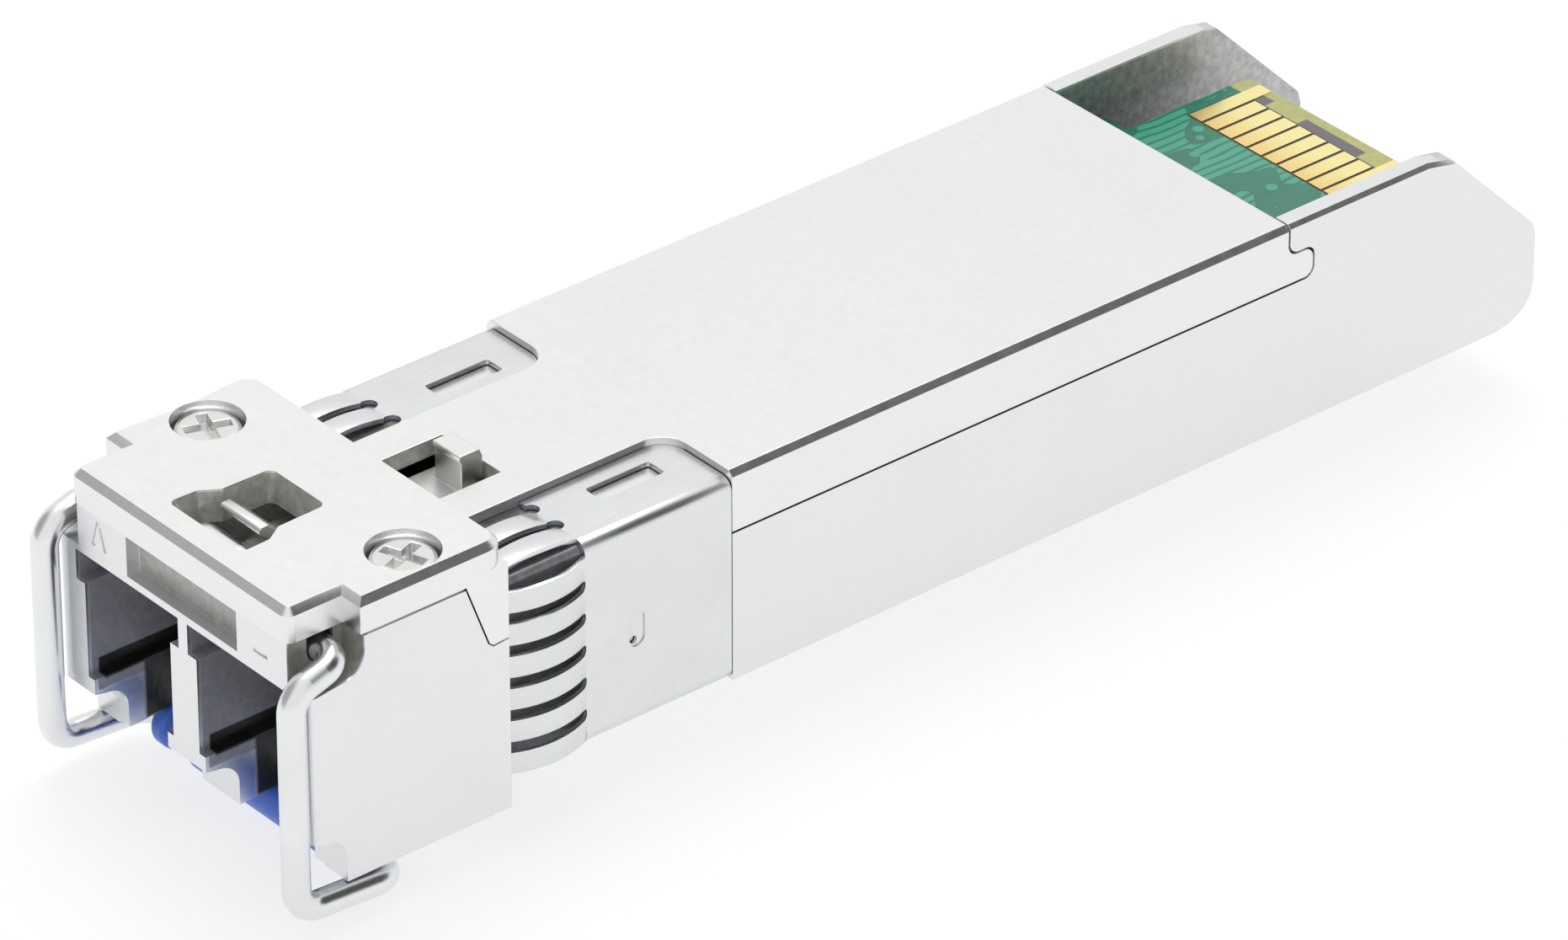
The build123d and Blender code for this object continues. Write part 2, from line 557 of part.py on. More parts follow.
def side_fingers():
    """The bowed fingers on one side, slots between them."""
    outer = BODY_HALF
    sheet = extrude(sheet_arc_outline(outer - SHEET, outer), amount=SIDE_FINGERS * FINGER_PITCH - SLOT)
    fingers = Pos(0, 0, FIRST_FINGER_Z) * sheet
    for index in range(SIDE_FINGERS - 1):
        z = FIRST_FINGER_Z + (index + 1) * FINGER_PITCH - SLOT
        fingers -= block(outer - 1, outer + 1, HEAD_BACK - 1, FINGER_ROOT - SLOT / 2, z, z + SLOT)
        fingers -= rod_x(outer - 1, outer + 1, FINGER_ROOT - SLOT / 2, z + SLOT / 2, SLOT / 2)
    return fingers


def level_fingers(z_face, x_list, half_width, up):
    """Bowed fingers on the top strips or on the underside."""
    tip = HEAD_BACK + 0.12
    middle = (tip + FINGER_ROOT) / 2
    bow = 0.22 * up
    inner = z_face - SHEET * up
    arc_out = ThreePointArc((FINGER_ROOT, z_face), (middle, z_face + bow), (tip, z_face))
    arc_in = ThreePointArc((tip, inner), (middle, inner + bow), (FINGER_ROOT, inner))
    face = Plane.YZ * make_face([arc_out, Line(arc_out @ 1, arc_in @ 0), arc_in,
                                 Line(arc_in @ 1, arc_out @ 0)])
    group = None
    for x in x_list:
        finger = Pos(x - half_width, 0, 0) * extrude(face, amount=2 * half_width)
        group = finger if group is None else group + finger
    return group


def emi_collar():
    """The stamped spring collar that grounds the module in the cage's mouth."""
    top = BODY_TOP - STRIP_DROP
    shell = block(-BODY_HALF, BODY_HALF, FINGER_ROOT - 0.01, COLLAR_END, 0, top)
    shell = fillet(shell.edges().filter_by(Axis.Y), COLLAR_BEND + SHEET)
    inside = BODY_HALF - SHEET
    hollow = block(-inside, inside, FINGER_ROOT - 1, COLLAR_END + 1, SHEET, top - SHEET)
    hollow = fillet(hollow.edges().filter_by(Axis.Y), COLLAR_BEND)
    gap = block(-RAISED_HALF - SKIN_GAP, RAISED_HALF + SKIN_GAP, FINGER_ROOT - 1, COLLAR_END + 1,
                top - SHEET - 0.1, top + 1)
    collar = shell - hollow - gap
    collar -= both_sides(strip_corner(top - SHEET - 0.1, top + 1, 0))
    for x in (-STRIP_MIDDLE, STRIP_MIDDLE):
        window = block(x - WINDOW_HALF_WIDTH, x + WINDOW_HALF_WIDTH, STRIP_WINDOW_FRONT, STRIP_WINDOW_BACK,
                       top - SHEET - 0.05, top + 1)
        collar -= fillet(window.edges().filter_by(Axis.Z), 0.12)
    floor_x = BODY_HALF - DIMPLE_DEPTH
    dimple = block(floor_x, BODY_HALF + 1, DIMPLE_Y - DIMPLE_R, DIMPLE_Y + DIMPLE_R,
                   DIMPLE_LOW, DIMPLE_HIGH)
    for z in (DIMPLE_LOW, DIMPLE_HIGH):
        dimple += rod_x(floor_x, BODY_HALF + 1, DIMPLE_Y, z, DIMPLE_R)
    dimple += rod_x(BODY_HALF - SHEET - 0.05, BODY_HALF + 1, DIMPLE_Y - 0.1, DIMPLE_LOW - 0.1, 0.15)
    collar -= both_sides(dimple)
    collar += both_sides(side_fingers())
    collar += both_sides(level_fingers(top, (4.45, 5.75), 0.46, 1))
    collar += both_sides(level_fingers(0, (0.65, 1.95, 3.25, 4.55, 5.6), 0.4, -1))
    for x in STRIP_SLOTS:
        collar -= both_sides(rod_z(x, FINGER_ROOT, top - SHEET - 0.05, top + 0.05, KEYHOLE_R))
    return collar


# ---------------------------------------------------------------- optics
OPTICS_TAIL = 18.3


def receptacle(x):
    """Barrel, flange and neck that hold the ferrule sleeve."""
    barrel = rod_y(x, 3.9, FLANGE_FRONT, AXIS_HEIGHT, BARREL_R)
    flange = rod_y(x, FLANGE_FRONT, FLANGE_BACK, AXIS_HEIGHT, FLANGE_R)
    neck = rod_y(x, FLANGE_BACK, NECK_BACK, AXIS_HEIGHT, NECK_R)
    return barrel + flange + neck - rod_y(x, 2, 8.4, AXIS_HEIGHT, 0.95)


def ferrule_sleeve(x):
    """The ceramic sleeve that lines the barrel."""
    return rod_y(x, 4.1, 8.4, AXIS_HEIGHT, 0.95) - rod_y(x, 3, 8.1, AXIS_HEIGHT, 0.63)


def optical_can(x):
    """The sealed metal can with the laser or the photodiode, on its header with four pins."""
    cap = rod_y(x, NECK_BACK, CAN_BACK - HEADER_THICK, AXIS_HEIGHT, CAP_R)
    header = rod_y(x, CAN_BACK - HEADER_THICK, CAN_BACK, AXIS_HEIGHT, HEADER_R)
    can = cap + header
    for dx, dz in ((0.7, 0.7), (-0.7, 0.7), (0.7, -0.7), (-0.7, -0.7)):
        can += rod_y(x + dx, CAN_BACK - 0.1, OPTICS_TAIL - 0.2, AXIS_HEIGHT + dz, 0.2)
    return can


def flex_circuit(x):
    """The flexible circuit from the can's pins up to the board's upper face."""
    thick = 0.14
    front = OPTICS_TAIL - 0.2
    top = BOARD_TOP + thick
    outline = [
        (front, AXIS_HEIGHT - 1.6), (front + thick, AXIS_HEIGHT - 1.6), (front + thick, 5.2),
        (front + 1.4, top - thick), (BOARD_FRONT + 1.5, top - thick), (BOARD_FRONT + 1.5, top),
        (front + 1.3, top), (front, 5.3),
    ]
    return side_prism(outline, x - 1.0, x + 1.0)


def osa_clamp():
    """The bracket that presses both necks down into their saddles."""
    half = BODY_HALF - WALL - 0.05
    y0 = FLANGE_BACK + 0.1
    y1 = FLANGE_BACK + 1.2
    bridge = block(-half, half, y0, y1, AXIS_HEIGHT + 0.45, 6.35)
    bridge -= block(-1.35, 1.35, y0 - 1, y1 + 1, 5.85, 7)
    for x in (-LC_PITCH_HALF, LC_PITCH_HALF):
        bridge -= rod_y(x, y0 - 1, y1 + 1, AXIS_HEIGHT, NECK_R + SKIN_GAP)
    return bridge


# ---------------------------------------------------------------- board
BOARD_HALF = 5.75
TONGUE_HALF = 4.6
TONGUE_START = 46.6
PAD_FRONT = 49.05
PAD_BACK = 51.55
OUTER_PAD_BACK = 52.5
PAD_WIDTH = 0.66
PAD_THICK = 0.03
CHIP_Z = BOARD_TOP


def main_board():
    """The circuit board, narrowed at the back into the edge-contact tongue."""
    outline = [
        (-BOARD_HALF, BOARD_FRONT), (BOARD_HALF, BOARD_FRONT), (BOARD_HALF, TONGUE_START),
        (TONGUE_HALF, TONGUE_START), (TONGUE_HALF, BOARD_REAR - 0.5), (TONGUE_HALF - 0.5, BOARD_REAR),
        (-TONGUE_HALF + 0.5, BOARD_REAR), (-TONGUE_HALF, BOARD_REAR - 0.5), (-TONGUE_HALF, TONGUE_START),
        (-BOARD_HALF, TONGUE_START),
    ]
    board = plan_prism(outline, BOARD_TOP - BOARD_THICK, BOARD_TOP)
    rear_edges = board.edges().filter_by(Axis.X).filter_by(
        lambda edge: edge.center().Y > BOARD_REAR - 0.01)
    return chamfer(rear_edges, 0.25)


def contact_row(z0, z1):
    """Ten contact fingers on one face; the outer ones reach further back."""
    pads = []
    for index in range(PAD_COUNT):
        x = (index - (PAD_COUNT - 1) / 2) * PAD_PITCH
        outermost = index in (0, PAD_COUNT - 1)
        back = OUTER_PAD_BACK if outermost else PAD_BACK
        pads.append(block(x - PAD_WIDTH / 2, x + PAD_WIDTH / 2, PAD_FRONT, back, z0, z1))
    return Compound(pads)


def chip(x, y, width, length, height):
    """A flat package on the board's upper face."""
    body = block(x - width / 2, x + width / 2, y - length / 2, y + length / 2, CHIP_Z, CHIP_Z + height)
    return chamfer(body.edges().filter_by(Axis.Z), 0.1)


def small_parts(places, width, length, height):
    """Equal small two-ended components at the given places."""
    return Compound([chip(x, y, width, length, height) for x, y in places])


DRIVER_Y = 29.0
AMPLIFIER_Y = 29.0
CONTROLLER_Y = 37.5


def thermal_pad():
    """The soft pad that carries heat from the laser driver to the cover."""
    return block(1.5, 4.5, DRIVER_Y - 1.4, DRIVER_Y + 1.4, CHIP_Z + 0.8, BODY_TOP - 0.7 - 0.02)


# ---------------------------------------------------------------- every node
def nodes():
    """All sub-parts by name."""
    bottom = BOARD_TOP - BOARD_THICK
    parts = {
        "base_housing": base_housing(),
        "top_cover": top_cover(),
        "head_plate": head_plate(),
        "plate_screws": plate_screws(),
        "bail_wire": bail_wire(),
        "bail_sleeve": bail_sleeve(),
        "latch_lever": latch_lever(),
        "lever_pin": lever_pin(),
        "latch_spring": latch_spring(),
        "emi_collar": emi_collar(),
        "osa_clamp": osa_clamp(),
        "main_board": main_board(),
        "contacts_top": contact_row(BOARD_TOP, BOARD_TOP + PAD_THICK),
        "contacts_bottom": contact_row(bottom - PAD_THICK, bottom),
        "laser_driver": chip(3.0, DRIVER_Y, 3.0, 3.0, 0.8),
        "limiting_amplifier": chip(-3.0, AMPLIFIER_Y, 3.0, 3.0, 0.8),
        "controller_chip": chip(0, CONTROLLER_Y, 4.0, 4.0, 0.85),
        "chip_capacitors": small_parts([(x, y) for x in (-4.2, -2.8, 2.8, 4.2) for y in (33.0, 41.5)],
                                       0.5, 1.0, 0.5),
        "chip_resistors": small_parts([(x, 24.8) for x in (-4.4, -3.0, -1.6, 1.6, 3.0, 4.4)],
                                      0.5, 1.0, 0.35),
        "power_inductors": small_parts([(-3.3, 44.3), (3.3, 44.3)], 1.6, 1.8, 0.9),
        "clock_crystal": chip(0, 33.0, 2.0, 1.6, 0.6),
        "thermal_pad": thermal_pad(),
    }
    for name, x in (("tosa", -LC_PITCH_HALF), ("rosa", LC_PITCH_HALF)):
        parts[name + "_receptacle"] = receptacle(x)
        parts[name + "_ferrule_sleeve"] = ferrule_sleeve(x)
        parts[name + "_can"] = optical_can(x)
        parts[name + "_flex"] = flex_circuit(x)
    return parts


def main():
    os.makedirs("parts", exist_ok=True)
    for name, shape in nodes().items():
        export_step(PLACE * shape, f"parts/{name}.step")


main()
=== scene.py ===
"""Looks of the optical transceiver module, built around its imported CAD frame. Units are metres."""

import json
import math

import bpy
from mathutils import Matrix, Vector


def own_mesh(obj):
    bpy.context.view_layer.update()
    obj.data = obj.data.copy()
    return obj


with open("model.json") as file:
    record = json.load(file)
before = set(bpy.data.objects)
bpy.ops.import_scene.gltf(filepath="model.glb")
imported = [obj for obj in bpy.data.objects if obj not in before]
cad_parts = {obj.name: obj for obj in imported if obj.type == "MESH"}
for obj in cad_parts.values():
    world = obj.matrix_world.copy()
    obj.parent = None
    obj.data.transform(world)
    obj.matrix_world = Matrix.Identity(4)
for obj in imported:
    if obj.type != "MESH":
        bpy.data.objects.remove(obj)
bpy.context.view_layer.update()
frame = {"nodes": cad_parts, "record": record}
nodes = frame["nodes"]

MM = 0.001
MIDDLE_Y = 27.7            # the row frame is the module's own frame moved by these two
LIFT = 2.4
CONTACTS_FRONT = 49.0      # the contacts on the board, and the end of its green mask
CONTACTS_BACK = 51.62
MASK_END = 51.62
BARS_BACK = 52.1


def at(x, y, z):
    """A point given in the module's own millimetres: y from its front face, z from its flat underside."""
    return Vector((x * MM, (y - MIDDLE_Y) * MM, (z + LIFT) * MM))


# ---------------------------------------------------------------- material helpers
class Graph:
    """A material's node tree, with short calls for the nodes used here."""

    def __init__(self, name):
        self.material = bpy.data.materials.new(name)
        self.material.use_nodes = True
        self.tree = self.material.node_tree
        self.tree.nodes.clear()
        self.shader = self.tree.nodes.new("ShaderNodeBsdfPrincipled")
        output = self.tree.nodes.new("ShaderNodeOutputMaterial")
        self.link(self.shader.outputs["BSDF"], output.inputs["Surface"])
        coordinates = self.tree.nodes.new("ShaderNodeTexCoord")
        self.place = coordinates.outputs["Object"]
        self.bump_height = None

    def link(self, source, target):
        self.tree.links.new(source, target)

    def feed(self, socket, value):
        """Sets a socket to a number or colour, or links it to another node's output."""
        if isinstance(value, bpy.types.NodeSocket):
            self.link(value, socket)
        else:
            socket.default_value = value

    def put(self, name, value):
        """Sets or links one of the surface's own inputs."""
        self.feed(self.shader.inputs[name], value)

    def math(self, operation, a, b=0.0, clamp=False):
        node = self.tree.nodes.new("ShaderNodeMath")
        node.operation = operation
        node.use_clamp = clamp
        self.feed(node.inputs[0], a)
        self.feed(node.inputs[1], b)
        return node.outputs[0]

    def stretched(self, scale):
        """The place on the object, scaled so that a noise read there is drawn out along one axis."""
        node = self.tree.nodes.new("ShaderNodeMapping")
        node.inputs["Scale"].default_value = scale
        self.link(self.place, node.inputs["Vector"])
        return node.outputs["Vector"]

    def noise(self, size_mm, detail=3.0, roughness=0.55, stretch=None):
        """Noise from 0 to 1 whose blobs are about size_mm across."""
        node = self.tree.nodes.new("ShaderNodeTexNoise")
        node.inputs["Scale"].default_value = 1.0 / (size_mm * MM)
        node.inputs["Detail"].default_value = detail
        node.inputs["Roughness"].default_value = roughness
        self.link(self.stretched(stretch) if stretch else self.place, node.inputs["Vector"])
        return node.outputs["Fac"]

    def cells(self, size_mm):
        """Distance to the nearest of many scattered points, about size_mm apart."""
        node = self.tree.nodes.new("ShaderNodeTexVoronoi")
        node.inputs["Scale"].default_value = 1.0 / (size_mm * MM)
        self.link(self.place, node.inputs["Vector"])
        return node.outputs["Distance"]

    def stripes(self, pitch_mm, share, wander_mm):
        """1 on lines that run along Y, bent a little sideways and broken off in places, and 0 elsewhere."""
        bend = self.math("MULTIPLY", self.noise(2.2, 1.0, 0.3), wander_mm * MM)
        across = self.math("DIVIDE", self.math("ADD", self.axis("X"), bend), pitch_mm * MM)
        phase = self.math("FRACT", across)
        lines = self.math("LESS_THAN", phase, share)
        unbroken = self.math("GREATER_THAN", self.noise(1.6, 0.0), 0.47)
        return self.math("MULTIPLY", lines, unbroken)

    def vias(self, spacing_mm, radius):
        """1 on small round pads scattered at about the given spacing."""
        return self.math("LESS_THAN", self.cells(spacing_mm), radius)

    def remap(self, value, low, high, to_low=0.0, to_high=1.0):
        node = self.tree.nodes.new("ShaderNodeMapRange")
        self.feed(node.inputs["Value"], value)
        node.inputs["From Min"].default_value = low
        node.inputs["From Max"].default_value = high
        node.inputs["To Min"].default_value = to_low
        node.inputs["To Max"].default_value = to_high
        return node.outputs["Result"]

    def mix(self, factor, a, b):
        node = self.tree.nodes.new("ShaderNodeMix")
        node.data_type = "RGBA"
        self.feed(node.inputs["Factor"], factor)
        self.feed(node.inputs["A"], a)
        self.feed(node.inputs["B"], b)
        return node.outputs["Result"]

    def axis(self, letter):
        """The place along one axis of the row frame."""
        node = self.tree.nodes.new("ShaderNodeSeparateXYZ")
        self.link(self.place, node.inputs[0])
        return node.outputs[letter]

    def inside(self, low, high, soft=0.1):
        """1 inside a box given by two points in module millimetres, falling to 0 over soft mm."""
        low, high = at(*low), at(*high)
        result = None
        for index, letter in enumerate("XYZ"):
            value = self.axis(letter)
            above = self.remap(value, low[index] - soft * MM, low[index])
            below = self.remap(value, high[index], high[index] + soft * MM, 1.0, 0.0)
            both = self.math("MULTIPLY", above, below)
            result = both if result is None else self.math("MULTIPLY", result, both)
        return result

    def bump(self, height, depth_mm):
        """Raises the surface by height, from 0 to 1, times depth_mm."""
        node = self.tree.nodes.new("ShaderNodeBump")
        node.inputs["Strength"].default_value = 1.0
        node.inputs["Distance"].default_value = depth_mm * MM
        self.link(height, node.inputs["Height"])
        if self.bump_height is not None:
            self.link(self.bump_height, node.inputs["Normal"])
        self.bump_height = node.outputs["Normal"]
        self.put("Normal", self.bump_height)


def grey(level, tint=0.0):
    """A near-grey colour; a positive tint is bluer, a negative one warmer."""
    return (level * (1 - tint), level, level * (1 + tint), 1.0)


CLOUD_SHADE = 0.98         # how much darker the clouds in the plating are
GRAIN_MM = 0.09
GRAIN_DEPTH = 0.002
RAW_METALLIC = 0.35        # as-cast areas shine much less than plated ones
RAW_DEPTH = 0.015


def nickel_finish(graph, base, rough):
    """Satin nickel plate: faint clouding of colour and gloss over a very fine cast grain."""
    clouds = graph.noise(6.0, 4.0)
    specks = graph.noise(0.35, 5.0)
    darker = tuple(value * CLOUD_SHADE for value in base[:3]) + (1.0,)
    colour = graph.mix(graph.remap(clouds, 0.35, 0.65), base, darker)
    graph.put("Metallic", 1.0)
    graph.put("Roughness", graph.remap(specks, 0.3, 0.7, rough - 0.02, rough + 0.03))
    graph.bump(graph.noise(GRAIN_MM, 3.0), GRAIN_DEPTH)
    return colour


def raw_and_painted_shade_areas(graph, colour, areas):
    """Lays as-cast areas, and areas of painted shade and painted light, over the plated colour: each is a
    mask with a dark and a light colour.
    """
    mottled = graph.noise(0.35, 6.0, 0.65)
    raw = None
    for mask, dark, light in areas:
        colour = graph.mix(mask, colour, graph.mix(mottled, dark, light))
        raw = mask if raw is None else graph.math("MAXIMUM", raw, mask)
    graph.put("Metallic", graph.remap(raw, 0.0, 1.0, 1.0, RAW_METALLIC))
    graph.bump(graph.math("MULTIPLY", graph.noise(0.25, 5.0, 0.6), raw), RAW_DEPTH)
    return colour


def casting_material():
    """The plated die casting, raw and darker inside the ports, the trench and the rear channel; the
    darkening in the ports and the rear channel is partly painted shade, with near-black painted shadow at
    the ports' feet and in the keyways, painted shade behind the collar and painted light towards the rear
    end.
    """
    graph = Graph("nickel_casting")
    colour = nickel_finish(graph, grey(0.80, 0.012), 0.30)
    port_raw_and_painted_shade = graph.inside((-6.05, 0.3, 1.3), (6.05, 8.4, 6.72), 0.1)
    port_foot_painted_shadow = graph.inside((-6.05, 0.6, 1.7), (6.05, 8.4, 2.3), 0.08)
    keyway_painted_shadow = graph.inside((-5.25, 2.3, -0.6), (5.25, 5.1, 1.8), 0.15)
    front_pocket = graph.inside((-3.0, 0.2, 7.04), (3.0, 0.9, 8.75), 0.05)
    trench = graph.inside((-3.2, 0.93, 6.0), (3.2, 8.4, 8.6), 0.03)
    elbow = graph.math("MAXIMUM", graph.inside((5.7, 0.2, 7.05), (6.9, 2.6, 8.65), 0.08),
                       graph.inside((-6.9, 0.2, 7.05), (-5.7, 2.6, 8.65), 0.08))
    belt_painted_shade = graph.inside((-6.53, 8.56, -0.1), (6.53, 12.9, 8.2), 0.03)
    # the rear channel: raw casting, darkened partly with painted shade
    rear = graph.inside((-5.95, 44.5, 0.7), (5.95, 57.0, 8.3), 0.05)
    # a ramp of painted light that brightens the rear channel towards its end
    towards_end = graph.remap(graph.axis("Y"), at(0, 46.5, 0).y, at(0, 54.0, 0).y)
    rear_end_painted_light = graph.math("MULTIPLY", rear, towards_end)
    colour = raw_and_painted_shade_areas(graph, colour, [
        # inside the ports: raw casting, darkened partly with painted shade
        (port_raw_and_painted_shade, (0.19, 0.195, 0.235, 1), (0.40, 0.41, 0.46, 1)),
        # near-black painted shadow along the foot of the ports
        (port_foot_painted_shadow, (0.010, 0.010, 0.010, 1), (0.03, 0.03, 0.03, 1)),
        # near-black painted shadow deep in the keyways
        (keyway_painted_shadow, (0.010, 0.010, 0.010, 1), (0.06, 0.06, 0.06, 1)),
        (front_pocket, (0.24, 0.24, 0.23, 1), (0.58, 0.58, 0.56, 1)),
        (trench, (0.20, 0.195, 0.18, 1), (0.80, 0.79, 0.74, 1)),
        (elbow, (0.16, 0.155, 0.14, 1), (0.50, 0.49, 0.46, 1)),
        # painted shade behind the collar's slots
        (belt_painted_shade, (0.10, 0.10, 0.11, 1), (0.30, 0.30, 0.32, 1)),
        # rear channel: raw casting, darkened partly with painted shade
        (rear, (0.04, 0.04, 0.04, 1), (0.50, 0.50, 0.49, 1)),
        # painted light: the rear channel grows lighter towards its end
        (rear_end_painted_light, (0.22, 0.22, 0.23, 1), (1.0, 1.0, 1.0, 1)),
    ])
    graph.put("Base Color", colour)
    return graph.material


def cover_material():
    """The plated lid, raw inside the latch post's window and darkened with painted shade under the collar's
    fingers.
    """
    graph = Graph("nickel_cover")
    colour = nickel_finish(graph, grey(0.83, 0.0), 0.30)
    window = graph.inside((-1.62, 8.6, 5.9), (1.62, 12.6, 8.33), 0.04)
    belt_painted_shade = graph.inside((-6.53, 8.56, 5.9), (6.53, 12.9, 8.0), 0.03)
    colour = raw_and_painted_shade_areas(graph, colour, [
        # painted shade under the collar's fingers
        (belt_painted_shade, (0.10, 0.10, 0.11, 1), (0.30, 0.30, 0.32, 1)),
        (window, (0.24, 0.235, 0.21, 1), (0.80, 0.79, 0.74, 1)),
    ])
    graph.put("Base Color", colour)
    return graph.material


def plate_material():
    """The plated head plate, raw on the walls of its window."""
    graph = Graph("nickel_plate")
    colour = nickel_finish(graph, grey(0.84, 0.0), 0.30)
    window = graph.inside((-2.1, 1.15, 8.6), (2.1, 5.2, 9.92), 0.04)
    colour = raw_and_painted_shade_areas(graph, colour, [(window, (0.24, 0.235, 0.21, 1), (0.92, 0.91, 0.85, 1))])
    graph.put("Base Color", colour)
    return graph.material


def plain_nickel(name, level, tint, rough):
    """Plated metal with no raw areas."""
    graph = Graph(name)
    graph.put("Base Color", nickel_finish(graph, grey(level, tint), rough))
    return graph.material


DRAW_STRETCH = 0.04        # drawing lines are 25 times as long as they are wide


def drawn_steel(name, level, tint, rough, along):
    """Wire and sheet with fine lines along the direction it was drawn in."""
    graph = Graph(name)
    stretch = tuple(DRAW_STRETCH if letter == along else 1.0 for letter in "XYZ")
    lines = graph.noise(0.06, 2.0, 0.5, stretch)
    clouds = graph.noise(2.5, 3.0)
    light = grey(level, tint)
    dark = grey(level * 0.96, tint)
    graph.put("Base Color", graph.mix(graph.remap(clouds, 0.35, 0.65), light, dark))
    graph.put("Metallic", 1.0)
    graph.put("Roughness", graph.remap(lines, 0.3, 0.7, rough - 0.03, rough + 0.03))
    graph.bump(lines, 0.001)
    return graph.material


def blue_plastic():
    """The grip's satin blue plastic."""
    graph = Graph("blue_grip")
    clouds = graph.noise(1.5, 3.0)
    graph.put("Base Color", graph.mix(clouds, (0.025, 0.10, 0.48, 1), (0.045, 0.15, 0.60, 1)))
    graph.put("Roughness", graph.remap(graph.noise(0.3, 4.0), 0.3, 0.7, 0.32, 0.45))
    graph.put("Subsurface Weight", 0.05)
    graph.bump(graph.noise(0.12, 2.0), 0.003)
    return graph.material


def circuit_board():
    """Green solder mask over copper traces, dark between the contacts and bare glass at the rear edge."""
    graph = Graph("circuit_board")
    weave = graph.noise(0.25, 2.0, 0.5)
    copper = graph.math("MAXIMUM", graph.stripes(0.42, 0.7, 0.5), graph.vias(1.15, 0.2))
    dim = graph.mix(graph.noise(0.8, 2.0), (0.006, 0.15, 0.085, 1), (0.010, 0.21, 0.13, 1))
    bright = graph.mix(weave, (0.03, 0.33, 0.21, 1), (0.05, 0.38, 0.25, 1))
    mask = graph.mix(copper, dim, bright)
    bare = graph.mix(weave, (0.36, 0.36, 0.10, 1), (0.52, 0.52, 0.20, 1))
    between = graph.inside((-4.0, CONTACTS_FRONT, 6.3), (4.0, CONTACTS_BACK, 6.6), 0.04)
    short_bar = graph.inside((-3.3, CONTACTS_BACK, 6.3), (-2.7, BARS_BACK, 6.6), 0.03)
    long_bar = graph.inside((-0.95, CONTACTS_BACK, 6.3), (2.2, BARS_BACK, 6.6), 0.03)
    rear = graph.remap(graph.axis("Y"), at(0, MASK_END, 0).y, at(0, MASK_END + 0.04, 0).y)
    bars = graph.math("MAXIMUM", short_bar, long_bar)
    colour = graph.mix(rear, mask, bare)
    colour = graph.mix(bars, colour, (0.13, 0.11, 0.12, 1))
    colour = graph.mix(between, colour, (0.035, 0.028, 0.02, 1))
    graph.put("Base Color", colour)
    graph.put("Roughness", graph.remap(weave, 0.3, 0.7, 0.3, 0.42))
    graph.put("Coat Weight", 0.3)
    graph.put("Coat Roughness", 0.2)
    graph.bump(copper, 0.02)
    graph.bump(weave, 0.003)
    return graph.material


def gold():
    """Hard gold, browner towards the front end of each contact."""
    graph = Graph("gold_contacts")
    along = graph.remap(graph.axis("Y"), at(0, 48.6, 0).y, at(0, 50.6, 0).y)
    scuffs = graph.noise(0.3, 3.0, 0.6, (1.0, 0.15, 1.0))
    colour = graph.mix(along, (0.88, 0.60, 0.20, 1), (0.97, 0.87, 0.41, 1))
    colour = graph.mix(graph.remap(scuffs, 0.4, 0.8, 0.0, 0.35), colour, (0.75, 0.60, 0.28, 1))
    graph.put("Base Color", colour)
    graph.put("Metallic", 1.0)
    graph.put("Roughness", graph.remap(scuffs, 0.3, 0.7, 0.22, 0.36))
    graph.bump(scuffs, 0.002)
    return graph.material


def moulded(name, dark, light, rough, size_mm=0.2, depth=0.004, metallic=0.0):
    """A simple two-tone surface for the small inner parts."""
    graph = Graph(name)
    mottled = graph.noise(size_mm, 4.0)
    graph.put("Base Color", graph.mix(mottled, dark, light))
    graph.put("Metallic", metallic)
    graph.put("Roughness", graph.remap(mottled, 0.3, 0.7, rough - 0.05, rough + 0.05))
    graph.bump(mottled, depth)
    return graph.material


def make_materials():
    """One material for each of the record's slots."""
    return {
        "nickel_casting": casting_material(),
        "nickel_cover": cover_material(),
        "nickel_plate": plate_material(),
        "nickel_screws": plain_nickel("nickel_screws", 0.80, -0.01, 0.22),
        "steel_pin": drawn_steel("steel_pin", 0.6, 0.0, 0.3, "X"),
        "spring_steel": drawn_steel("spring_steel", 0.5, 0.01, 0.3, "Z"),
        "collar_steel": drawn_steel("collar_steel", 0.765, 0.02, 0.29, "Y"),
        "bail_steel": drawn_steel("bail_steel", 0.82, 0.02, 0.24, "Z"),
        "lever_steel": drawn_steel("lever_steel", 0.80, -0.01, 0.34, "Y"),
        "clamp_steel": drawn_steel("clamp_steel", 0.6, 0.0, 0.35, "X"),
        "optics_steel": drawn_steel("optics_steel", 0.6, 0.0, 0.28, "Y"),
        "optics_gold": moulded("optics_gold", (0.62, 0.42, 0.14, 1), (0.8, 0.58, 0.24, 1), 0.3, 0.3, 0.003,
                               1.0),
        "zirconia": moulded("zirconia", (0.8, 0.8, 0.76, 1), (0.9, 0.9, 0.87, 1), 0.2, 0.4, 0.001),
        "circuit_board": circuit_board(),
        "gold_contacts": gold(),
        "chip_black": moulded("chip_black", (0.012, 0.012, 0.014, 1), (0.03, 0.03, 0.033, 1), 0.5, 0.08),
        "capacitor_tan": moulded("capacitor_tan", (0.36, 0.25, 0.15, 1), (0.46, 0.34, 0.22, 1), 0.45),
        "ferrite": moulded("ferrite", (0.03, 0.028, 0.028, 1), (0.07, 0.065, 0.065, 1), 0.6),
        "crystal_can": moulded("crystal_can", (0.6, 0.59, 0.55, 1), (0.7, 0.69, 0.65, 1), 0.28, 0.3, 0.002,
                               1.0),
        "thermal_pad": moulded("thermal_pad", (0.16, 0.24, 0.30, 1), (0.22, 0.31, 0.38, 1), 0.7, 0.3, 0.01),
        "flex_amber": moulded("flex_amber", (0.42, 0.16, 0.02, 1), (0.55, 0.24, 0.04, 1), 0.35, 0.5, 0.002),
        "blue_grip": blue_plastic(),
    }


